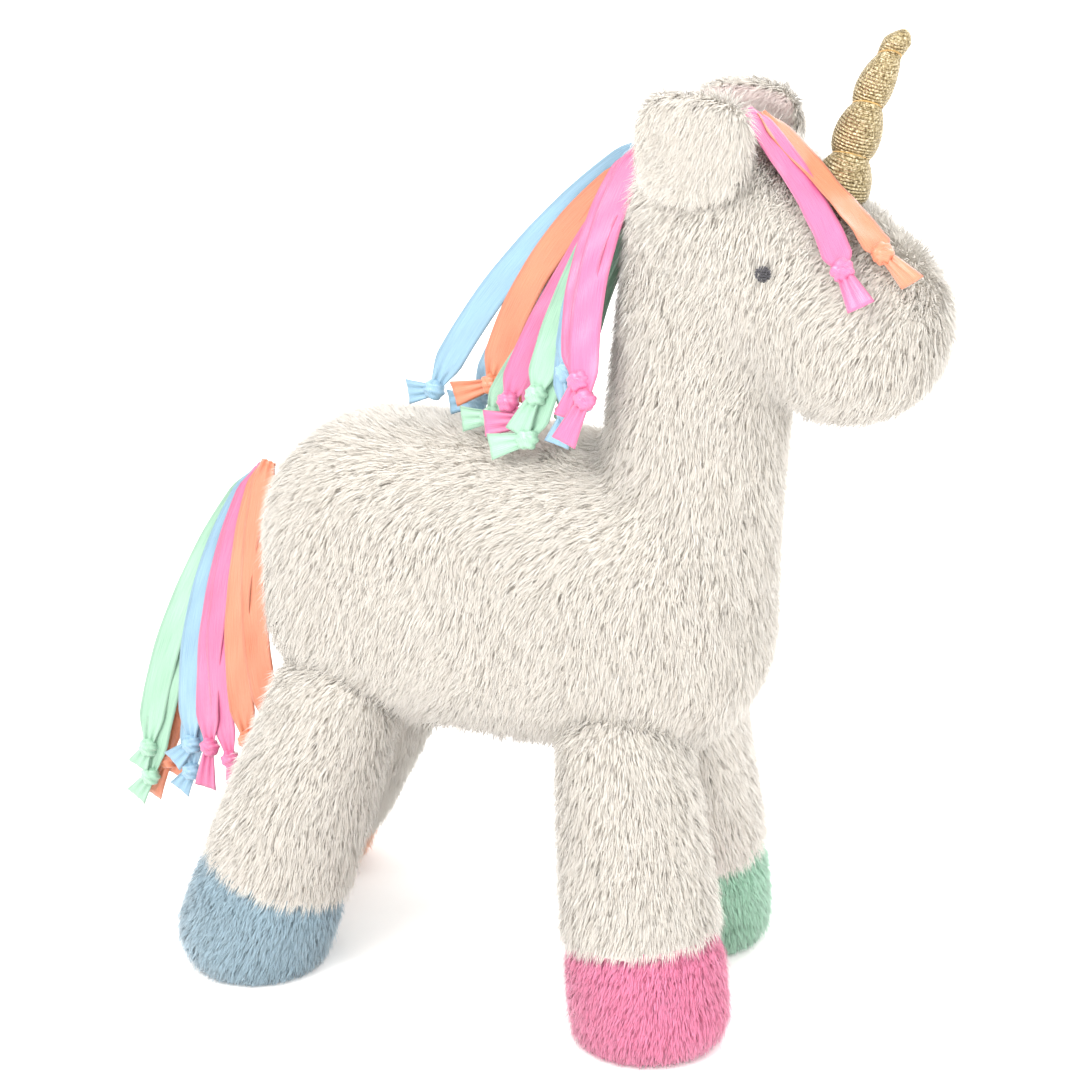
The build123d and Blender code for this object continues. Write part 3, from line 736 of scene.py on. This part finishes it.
# ---- Ears: short folded flaps, lined on the side that faces in ----
EAR_ROOT = (75.0, 27.5, 322.9)
EAR_WIDTH, EAR_LOW, EAR_LEAN, EAR_HALF_THICK = 40.0, -10.0, 12.0, 3.0
EAR_TOPS = {"right": 23.0, "left": 15.5}  # the far ear lies flatter
EAR_FIBRES, EAR_PILE_LENGTH = 26000, 7.0
LINING_FIBRES, LINING_PILE_LENGTH = 24000, 4.6
for side, way in (("right", -1), ("left", 1)):
    root = at(EAR_ROOT[0], way * EAR_ROOT[1], EAR_ROOT[2])
    lean = math.radians(EAR_LEAN)
    up = np.array([0, way * math.sin(lean), math.cos(lean)])
    out = np.array([0, way * math.cos(lean), -math.sin(lean)])
    rows, columns = 26, 48
    angle = np.linspace(0, 2 * math.pi, columns, endpoint=False)
    verts = []
    for r in range(rows):
        t = r / (rows - 1)
        rise = EAR_LOW + (EAR_TOPS[side] - 2.0 - EAR_LOW) * t
        ends = max(0.0, 1 - abs(2 * t - 1) ** 4 * 0.9995) ** 0.5
        half_width = (EAR_WIDTH / 2 - 2.6) * (1.0 - 0.10 * (1 - t)) * max(ends, 0.02)
        half_thick = EAR_HALF_THICK * max(ends, 0.02)
        cx, cy = np.cos(angle), np.sin(angle)
        x = np.sign(cx) * np.abs(cx) ** 0.75 * half_width
        y = np.sign(cy) * np.abs(cy) ** 0.8 * half_thick
        # the flap folds over the head's side, with a crease running up from its lower edge
        hang = 7.5 * (1 - t) ** 1.3
        fold = -3.2 * np.exp(-(((x - 6.0 - 3.0 * t) / 1.8) ** 2))
        crease = fold * np.clip(0.62 - t, 0, 1) / 0.62 * (y > 0)
        cup = -((x / 18.0) ** 2) * 2.4
        spread = root + np.array([1.0, 0, 0]) * (x * MM)[:, None]
        verts.append(spread + up * rise * MM + out * ((y + crease + cup + hang) * MM)[:, None])
    verts = np.concatenate(verts)
    ear = make_object(f"ear_{side}_flap", verts, [grid_faces(rows, columns, True)], white_cloth)
    ear.data.materials.append(lining_cloth)
    centres = np.zeros(len(ear.data.polygons) * 3, np.float32)
    normals = np.zeros(len(ear.data.polygons) * 3, np.float32)
    ear.data.polygons.foreach_get("center", centres)
    ear.data.polygons.foreach_get("normal", normals)
    normals = normals.reshape(-1, 3)
    middle = coordinates(ear).mean(0)
    if ((centres.reshape(-1, 3) - middle) * normals).sum() < 0:
        ear.data.flip_normals()
        normals = -normals
    ear.data.polygons.foreach_set("material_index", (normals @ out < -0.35).astype(np.int32))
    smooth = ear.modifiers.new("rounding", "SUBSURF")
    smooth.levels = smooth.render_levels = 1
    ear.data = evaluated(ear)
    ear.modifiers.clear()

    def comb_ear(p, n, up=up, out=out):
        return np.tile(-up * 0.8 + out * 0.2, (len(p), 1)) + np.array([-0.3, 0, 0.0])

    coat = grow_pile(
        f"ear_{side}_pile",
        ear,
        EAR_FIBRES,
        EAR_PILE_LENGTH,
        white_pile,
        comb_ear,
        keep=lambda p, n: n @ out > -0.75,
        lift=0.62,
        floor=False,
    )
    inside = grow_pile(
        f"ear_{side}_lining_pile",
        ear,
        LINING_FIBRES,
        LINING_PILE_LENGTH,
        lining_pile,
        comb_ear,
        keep=lambda p, n: n @ out <= -0.6,
        width=0.4,
        lift=0.5,
        floor=False,
    )
    for piece in (ear, coat, inside):
        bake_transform(piece)
    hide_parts(f"ear_{side}_outer", f"ear_{side}_lining")

# ---- Horn: rib-knit over stuffing, drawn in by a thread wound round it ----
HORN_BULGES = 3.2
HORN_TILT, HORN_TILT_ANGLE, HORN_PHASE = 0.16, 1.9, 0.35
HORN_BEND = 5.0  # how far the tip curls forwards
HORN_TUCK = 0.006  # how far the cover runs into the head
KNIT_STEP, THREAD_RADIUS = 0.0011, 0.00035
horn_foot = on_middle(HORN_FOOT)
horn_axis = on_middle(HORN_TIP) - horn_foot
horn_length = float(np.linalg.norm(horn_axis))
ha, hb, hd = basis(horn_axis)
rows, columns = 150, 72
turn = np.linspace(0, 2 * math.pi, columns, endpoint=False)
pitch = horn_length / HORN_BULGES


def horn_radius(height, angle):
    """The cover's radius: a taper, drawn in where the thread winds round it, with a round tip."""
    share = np.clip(height / horn_length, 0, 1)
    taper = 9.8 - 5.6 * share
    tilt = HORN_TILT * np.cos(angle - HORN_TILT_ANGLE)
    phase = (height / pitch + tilt + HORN_PHASE) % 1.0
    bulge = np.abs(np.sin(math.pi * phase)) ** 0.62
    cap = np.sqrt(np.clip((horn_length - height) / 0.0045, 0.0004, 1))
    return (taper * (0.68 + 0.34 * bulge)) * cap * MM


def horn_centre(height):
    """The horn's middle line, which curls forwards near its tip."""
    curl = HORN_BEND * MM * max(0, height / horn_length) ** 4
    return horn_foot + hd * height + np.array([1.0, 0, -0.2]) * curl


tip_rows = 30
tip_heights = horn_length * (0.9 + 0.1 * np.sin(np.linspace(0.05, math.pi / 2, tip_rows)))
heights = np.concatenate([np.linspace(-HORN_TUCK, horn_length * 0.9, rows - tip_rows), tip_heights])
horn_verts, horn_uv = [], []
for h in heights:
    r = horn_radius(h, turn) * (1 + 0.012 * np.sin(2 * math.pi * h / KNIT_STEP))
    ring = np.cos(turn)[:, None] * ha * r[:, None] + np.sin(turn)[:, None] * hb * r[:, None]
    share = (h + HORN_TUCK) / (horn_length + HORN_TUCK)
    horn_verts.append(horn_centre(h) + ring)
    horn_uv.append(np.stack([turn / (2 * math.pi), np.full(columns, share)], 1))
horn_faces = grid_faces(len(heights), columns, True)
horn_verts, horn_uv = np.concatenate(horn_verts), np.concatenate(horn_uv)
horn = make_object("horn_knit_cover", horn_verts, [horn_faces], gold, horn_uv)
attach(horn, "horn")
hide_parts("horn_cover", "horn_stuffing")


def tube(name, points, radius, material, sides=8):
    """A thread along points."""
    points = np.asarray(points, float)
    tangent = unit(np.gradient(points, axis=0))
    reference = unit(np.cross(tangent, np.roll(tangent, 1, axis=0) + np.array([0.013, 0.021, 0.017])))
    other = np.cross(tangent, reference)
    angles = np.linspace(0, 2 * math.pi, sides, endpoint=False)[None, :, None]
    ring = np.cos(angles) * reference[:, None, :] + np.sin(angles) * other[:, None, :]
    verts = points[:, None, :] + ring * radius
    return make_object(name, verts.reshape(-1, 3), [grid_faces(len(points), sides, True)], material)


winding = []
for ring in (1, 2, 3):
    for angle in np.linspace(0, 2 * math.pi, 60, endpoint=ring == 3):
        h = (ring - HORN_PHASE - HORN_TILT * math.cos(angle - HORN_TILT_ANGLE)) * pitch
        r = float(horn_radius(np.array([h]), np.array([angle]))[0]) + 0.0001
        winding.append(horn_centre(h) + (math.cos(angle) * ha + math.sin(angle) * hb) * r)
thread = tube("horn_wound_thread", winding, THREAD_RADIUS, gold_thread)
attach(thread, "horn")
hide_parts("horn_winding_thread")

# ---- Eyes: small knots of crossed embroidery stitches ----
EYE_TILT = 0.19  # how far each eye looks up along the head's side
EYE_BED, EYE_BED_HEIGHT = 0.0022, 0.0028
STITCH_REACH, STITCH_SPREAD, STITCH_RADIUS = 0.0026, 0.0021, 0.00034
head_line = unit(on_middle(MUZZLE) - on_middle(CRANIUM))
head_up = np.array([-head_line[2], 0, head_line[0]])
for side, way in (("right", -1), ("left", 1)):
    low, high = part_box(f"eye_{side}")
    middle = (np.array(low) + np.array(high)) / 2
    out = unit(np.array([0, way * math.cos(EYE_TILT), 0]) + head_up * math.sin(EYE_TILT))
    across = unit(np.cross(head_up, out))
    upward = np.cross(out, across)
    centre = middle + out * 1.2 * MM
    bed = [(EYE_BED * math.cos(t), EYE_BED_HEIGHT * math.sin(t)) for t in np.linspace(0, 1.55, 12)]
    dome_verts, dome_faces = lathe(centre - out * EYE_BED, out, bed, 32)
    dome = make_object(f"eye_{side}_bed", dome_verts, [dome_faces], charcoal)
    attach(dome, "neck_head")
    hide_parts(f"eye_{side}")
    for direction in (0.6, 0.6 + math.pi / 2):
        main = math.cos(direction) * across + math.sin(direction) * upward
        cross = -math.sin(direction) * across + math.cos(direction) * upward
        for index, offset in enumerate(np.linspace(-1, 1, 6)):
            reach = STITCH_REACH * math.sqrt(max(0.05, 1 - (offset * 0.85) ** 2))
            s = np.linspace(-1, 1, 15)
            arch = 0.0015 * np.sqrt(np.clip(1 - s**2 * 0.98, 0.01, 1)) * math.sqrt(1 - (offset * 0.8) ** 2)
            wavy = 0.0002 * np.cos(s * 8 + index * math.pi + direction)
            line = centre + main * (s * reach)[:, None] + cross * offset * STITCH_SPREAD
            line = line + out * (arch + wavy - 0.0003)[:, None]
            stitch_name = f"eye_{side}_stitch_{int(direction * 10)}_{index}"
            stitch = tube(stitch_name, line, STITCH_RADIUS, charcoal, 6)
            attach(stitch, "neck_head")

# ---- Satin ribbons ----
RIBBON_WIDTH, RIBBON_THICKNESS, KNOT_RADIUS, STRAND_LAYER = 10.8, 0.28, 3.6, 0.8
RIBBON_ROWS, CUT_END_ROWS = 40, 12
# for each strand: root height, hang angle back from straight down, length, bow, cut end's angle and length
MANE = {
    "pink_side": ((320.0, 6.0, 88.0, 7.0, 20.0, 13.0), (318.0, 8.0, 80.0, 8.0, 12.0, 10.0)),
    "blue_side": ((321.0, 14.0, 83.0, 5.5, -25.0, 12.0), (318.0, 10.0, 93.0, 7.5, 13.0, 8.0)),
    "mint_side": ((301.0, 19.0, 74.0, 3.0, 22.0, 12.0), (292.0, 19.0, 81.0, 1.0, 72.0, 11.0)),
    "pink_back": ((300.0, 20.0, 85.0, 1.5, 80.0, 13.0), (303.0, 26.0, 86.0, 3.0, -30.0, 6.0)),
    "mint_back": ((291.0, 15.0, 71.0, 2.0, -10.0, 4.0), (290.0, 33.0, 86.0, 3.0, 80.0, 8.0)),
    "orange": ((311.0, 32.0, 98.0, 9.0, 70.0, 12.0), (308.0, 24.0, 84.0, 6.0, 24.0, 7.0)),
    "blue_far": ((319.0, 40.0, 128.0, 8.0, 80.0, 7.0), (317.0, 33.0, 117.0, 6.0, 80.0, 8.0)),
}
TAIL = {
    "orange_near": ((187.0, 0.0, 107.0, 7.0, 15.0, 12.0), (186.0, 5.0, 114.0, 8.0, -20.0, 9.0)),
    "pink": ((184.0, 8.0, 124.0, 11.0, -15.0, 6.0), (182.0, 12.0, 120.0, 8.0, 7.0, 14.0)),
    "blue": ((181.0, 16.0, 123.0, 10.0, 45.0, 9.0), (181.0, 15.0, 135.0, 7.0, 32.0, 7.0)),
    "mint": ((180.0, 24.0, 136.0, 9.0, 28.0, 7.0), (180.0, 22.0, 148.0, 7.0, 34.0, 9.0)),
    "orange_far": ((181.0, 21.0, 141.0, 9.0, 26.0, 15.0), (182.0, 18.0, 131.0, 4.0, 24.0, 13.0)),
}
SEAM_STEP = 1.8
MANE_TOP, TAIL_TOP = 325.0, 190.0


def ribbon_mesh(name, centre, normal, widths, material, seed):
    """A band along centre with folds where it is gathered in; normal is the way its face looks."""
    local = np.random.default_rng(seed)
    rows, columns = len(centre), 13
    tangent = unit(np.gradient(centre, axis=0))
    normal = np.tile(normal, (rows, 1)) if normal.ndim == 1 else normal
    across = unit(np.cross(tangent, normal))
    face = np.cross(across, tangent)
    s = np.linspace(0, 1, rows)
    turns = 2 * math.pi * s * local.uniform(0.7, 1.2) + local.uniform(0, 6)
    twist = 0.16 * np.sin(turns) * np.sin(math.pi * s)
    across = across * np.cos(twist)[:, None] + face * np.sin(twist)[:, None]
    face = np.cross(across, tangent)
    v = np.linspace(-1, 1, columns)[None, :]
    down = s[:, None]
    gather = np.clip(1 - widths / RIBBON_WIDTH, 0, 1)[:, None]
    phase = local.uniform(0, 6)
    folds = 1.1 * gather * np.sin(2.6 * math.pi * v + phase)
    ripple = 0.28 * np.sin(down * 19 + v * 2.2 + phase) + 0.16 * np.sin(down * 41 - v * 3 + phase)
    curl = 0.45 * (v**2) * (1 - gather)
    side = v * widths[:, None] / 2
    height = folds + ripple * np.sin(math.pi * np.clip(down, 0.02, 0.98)) + curl
    verts = centre[:, None, :] + across[:, None, :] * (side * MM)[:, :, None]
    verts = verts + face[:, None, :] * (height * MM)[:, :, None]
    length = np.concatenate([[0], np.cumsum(np.linalg.norm(np.diff(centre, axis=0), axis=1))])
    uv = np.stack(np.broadcast_arrays((v + 1) / 2, (length / length[-1])[:, None]), -1)
    faces = [grid_faces(rows, columns, False)]
    band = make_object(name, verts.reshape(-1, 3), faces, material, uv.reshape(-1, 2))
    thick = band.modifiers.new("thickness", "SOLIDIFY")
    thick.thickness = RIBBON_THICKNESS * MM
    thick.offset = 0
    band.data = evaluated(band)
    band.modifiers.clear()
    return band, float(length[-1])


def knot_mesh(name, place, along, face, material, seed):
    """An overhand knot: two crossed wraps of ribbon drawn tight."""
    local = np.random.default_rng(seed)
    rows, columns = 26, 40
    across = unit(np.cross(along, face))
    face = np.cross(across, along)
    polar = np.linspace(0.03, math.pi - 0.03, rows)[:, None]
    around = np.linspace(0, 2 * math.pi, columns, endpoint=False)[None, :]
    x = np.sin(polar) * np.cos(around)
    y = np.sin(polar) * np.sin(around)
    z = np.cos(polar) + 0 * around
    tilt = local.uniform(0.5, 0.9)
    crossing = np.abs(np.sin(3.0 * (x * tilt + z * 0.9) + local.uniform(0, 3))) ** 0.6
    creases = 0.12 * np.sin(9 * (z - 0.5 * x) + 2 * y)
    radius = 1.0 + 0.17 * crossing + creases * 0.5 - 0.12
    shape = np.stack([x * radius * 4.0, y * radius * 2.9, z * radius * 3.9], -1) * MM
    verts = place + shape[..., 0:1] * across + shape[..., 1:2] * face + shape[..., 2:3] * along
    over_width = 0.15 + 0.7 * (0.5 + 0.5 * np.cos(around + polar))
    uv = np.stack(np.broadcast_arrays(over_width, polar / math.pi), -1)
    faces = [grid_faces(rows, columns, True)]
    return make_object(name, verts.reshape(-1, 3), faces, material, uv.reshape(-1, 2))


def smooth_line(points, count):
    """A curve through three points, evenly stepped."""
    t = np.linspace(0, 1, count)[:, None]
    a, b, c = [np.asarray(p, float) for p in points]
    control = 2 * b - (a + c) / 2
    return (1 - t) ** 2 * a + 2 * t * (1 - t) * control + t**2 * c


def ease(q):
    return q * q * (3 - 2 * q)


def width_line(count, root, neck, full):
    """A strand's width: gathered at its root, full along its run and drawn in at its knot."""
    t = np.linspace(0, 1, count)
    opening = np.clip(t / 0.10, 0, 1)
    closing = np.clip((1 - t) / 0.11, 0, 1)
    return root + (full - root) * ease(opening) - (full - neck) * (1 - ease(closing))


def ribbon_strand(name, colour, root, middle, knot, cut, normal, body_name, node, slot_name, seed):
    """One strand with its knot and its cut end, which opens out again past the knot."""
    band_line = smooth_line((root, middle, knot), RIBBON_ROWS)
    face = normal if normal.ndim == 1 else normal[-1]
    cut_middle = (knot + cut) / 2 + unit(face) * 0.4 * MM
    cut_line = smooth_line((knot, cut_middle, cut), CUT_END_ROWS)[1:]
    centre = np.concatenate([band_line, cut_line])
    widths = width_line(RIBBON_ROWS, 5.5, 4.6, RIBBON_WIDTH)
    widths = np.concatenate([widths, np.linspace(4.8, 9.6, len(cut_line))])
    band, length = ribbon_mesh(name, centre, normal, widths, satin[colour], seed)
    knot_piece = knot_mesh(f"{name}_knot", knot, unit(knot - middle), unit(face), satin[colour], seed + 500)
    for piece in (band, knot_piece):
        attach(piece, body_name)
    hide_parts(node)


def heading(angle):
    """Along and up for a direction that many degrees back from straight down."""
    return np.array([-math.sin(math.radians(angle)), -math.cos(math.radians(angle))])


def hang(group, body_name, top, first_offset, first_slope, slope_step, seam):
    """A group's ribbons side by side, each flat in its own plane, which leans out by its slope."""
    for index, (key, strands) in enumerate(group.items()):
        colour = key.split("_")[0]
        offset = first_offset + index * SEAM_STEP
        slope = first_slope - index * slope_step
        stretch = math.hypot(1, slope)
        normal = np.array([0, -1, slope]) / stretch
        upward = np.array([0, slope, 1]) / stretch
        origin = at(0, offset, top)
        for number, (height, angle, length, bow, end_angle, end_length) in enumerate(strands):
            layer = origin - normal * number * STRAND_LAYER * MM
            root = np.array([seam(height), (height - top) * stretch])
            along = heading(angle)
            knot = root + along * length
            middle = root + along * (length / 2) + np.array([along[1], -along[0]]) * bow
            cut = knot + heading(end_angle) * (KNOT_RADIUS + end_length)
            places = (root, middle, knot, cut)
            line = [layer + np.array([x * MM, 0, 0]) + upward * y * MM for x, y in places]
            ribbon_strand(
                f"{body_name}_{key}_{'ab'[number]}",
                colour,
                *line,
                normal,
                body_name,
                f"{body_name}_ribbon_{key}",
                f"{colour}_satin",
                100 + index * 7 + number * 3 + len(body_name),
            )


def crest(height):
    """Where the back of the head is at a height."""
    rise = height - CRANIUM[1]
    return CRANIUM[0] - math.sqrt(HEAD_RADIUS**2 - rise**2) - 0.5


def rump_seam(height):
    """Where a tail ribbon's root is sewn in: lower ones a little further back."""
    return -TORSO_LENGTH / 2 + 1.0 - (TAIL_TOP - height)


hang(MANE, "mane", MANE_TOP, first_offset=-4.8, first_slope=0.352, slope_step=0.054, seam=crest)
hang(TAIL, "tail", TAIL_TOP, first_offset=-2.4, first_slope=0.055, slope_step=0.02, seam=rump_seam)


def over_head(x, y, clear):
    """A point above the head's surface, found straight up from the given place."""
    away = HEAD_RADIUS + clear
    line = np.array([MUZZLE[0] - CRANIUM[0], MUZZLE[1] - CRANIUM[1]])
    line = line / np.linalg.norm(line)
    up_x, up_z = -line[1], line[0]
    rise = math.sqrt(away**2 - y**2)
    along = (x - CRANIUM[0] - rise * up_x) / line[0]
    return at(CRANIUM[0] + line[0] * along + up_x * rise, y, CRANIUM[1] + line[1] * along + up_z * rise)


def outward(point):
    """Straight away from the head's long axis."""
    arm = point - on_middle(CRANIUM)
    return unit(arm - head_line * (arm @ head_line))


# for each ribbon: x and y of its root, middle and knot, seen from above the head
FORELOCK = {
    "pink": ((87.0, -11.5), (112.0, -22.5), (127.5, -32.0)),
    "orange": ((91.0, -8.5), (121.0, -16.0), (138.0, -22.0)),
}
FORELOCK_CLEAR, FORELOCK_END = 3.6, 14.6
for index, (colour, places) in enumerate(FORELOCK.items()):
    root, middle, knot = [over_head(*place, FORELOCK_CLEAR) for place in places]
    knot = knot + outward(knot) * 0.8 * MM
    cut = knot + (unit(knot - middle) + outward(knot) * 0.2) * FORELOCK_END * MM
    line = smooth_line((root, middle, knot), RIBBON_ROWS)
    rows = np.concatenate([line, np.tile(cut, (CUT_END_ROWS - 1, 1))])
    normals = np.array([outward(q) for q in rows])
    ribbon_strand(
        f"forelock_{colour}",
        colour,
        root,
        middle,
        knot,
        cut,
        normals,
        "forelock",
        f"forelock_ribbon_{colour}",
        f"{colour}_satin",
        40 + index,
    )

# ---- Floor, light and camera ----
floor_material = cloth_material("pale_floor", linear(250, 249, 248), linear(247, 246, 245), 40.0, 0.02)
FLOOR_REACH, FLOOR_DROP = 3.0, 0.0002
corner_signs = ((-1, -1), (1, -1), (1, 1), (-1, 1))
floor_corners = [(x * FLOOR_REACH, y * FLOOR_REACH, -FLOOR_DROP) for x, y in corner_signs]
floor = make_object("floor", floor_corners, [[[0, 1, 2, 3]]], floor_material)

world = bpy.data.worlds.new("studio")
bpy.context.scene.world = world
world.use_nodes = True
background = world.node_tree.nodes["Background"]
background.inputs["Color"].default_value = (1.0, 0.995, 0.985, 1)
background.inputs["Strength"].default_value = 1.9


def area_light(name, place, target, size, power, colour=(1, 1, 1)):
    data = bpy.data.lights.new(name, "AREA")
    data.energy = power
    data.size = size
    data.color = colour
    light = bpy.data.objects.new(name, data)
    light.location = place
    light.rotation_euler = (Vector(target) - Vector(place)).to_track_quat("-Z", "Y").to_euler()
    bpy.context.scene.collection.objects.link(light)


bpy.context.scene.view_settings.view_transform = "Standard"
area_light("key", (-0.5, -1.3, 1.5), (0, 0, 0.16), 1.0, 22, (1.0, 0.985, 0.96))
area_light("fill", (1.5, -0.9, 0.8), (0, 0, 0.16), 1.2, 9)
area_light("rim", (0.4, 1.4, 1.1), (0, 0, 0.2), 1.0, 8)

TARGET = Vector((0.0169, 0.0, 0.1695))
AZIMUTH, ELEVATION, DISTANCE, LENS = 22.0, 20.5, 1.05, 95.9
azimuth, elevation = math.radians(AZIMUTH), math.radians(ELEVATION)
level = math.cos(elevation)
back = Vector((math.sin(azimuth) * level, -math.cos(azimuth) * level, math.sin(elevation)))
camera_data = bpy.data.cameras.new("camera")
camera_data.lens = LENS
camera_data.sensor_width = 36.0
camera_data.clip_start = 0.01
camera = bpy.data.objects.new("camera", camera_data)
camera.location = TARGET + back * DISTANCE
camera.rotation_euler = (-back).to_track_quat("-Z", "Y").to_euler()
bpy.context.scene.collection.objects.link(camera)
bpy.context.scene.camera = camera
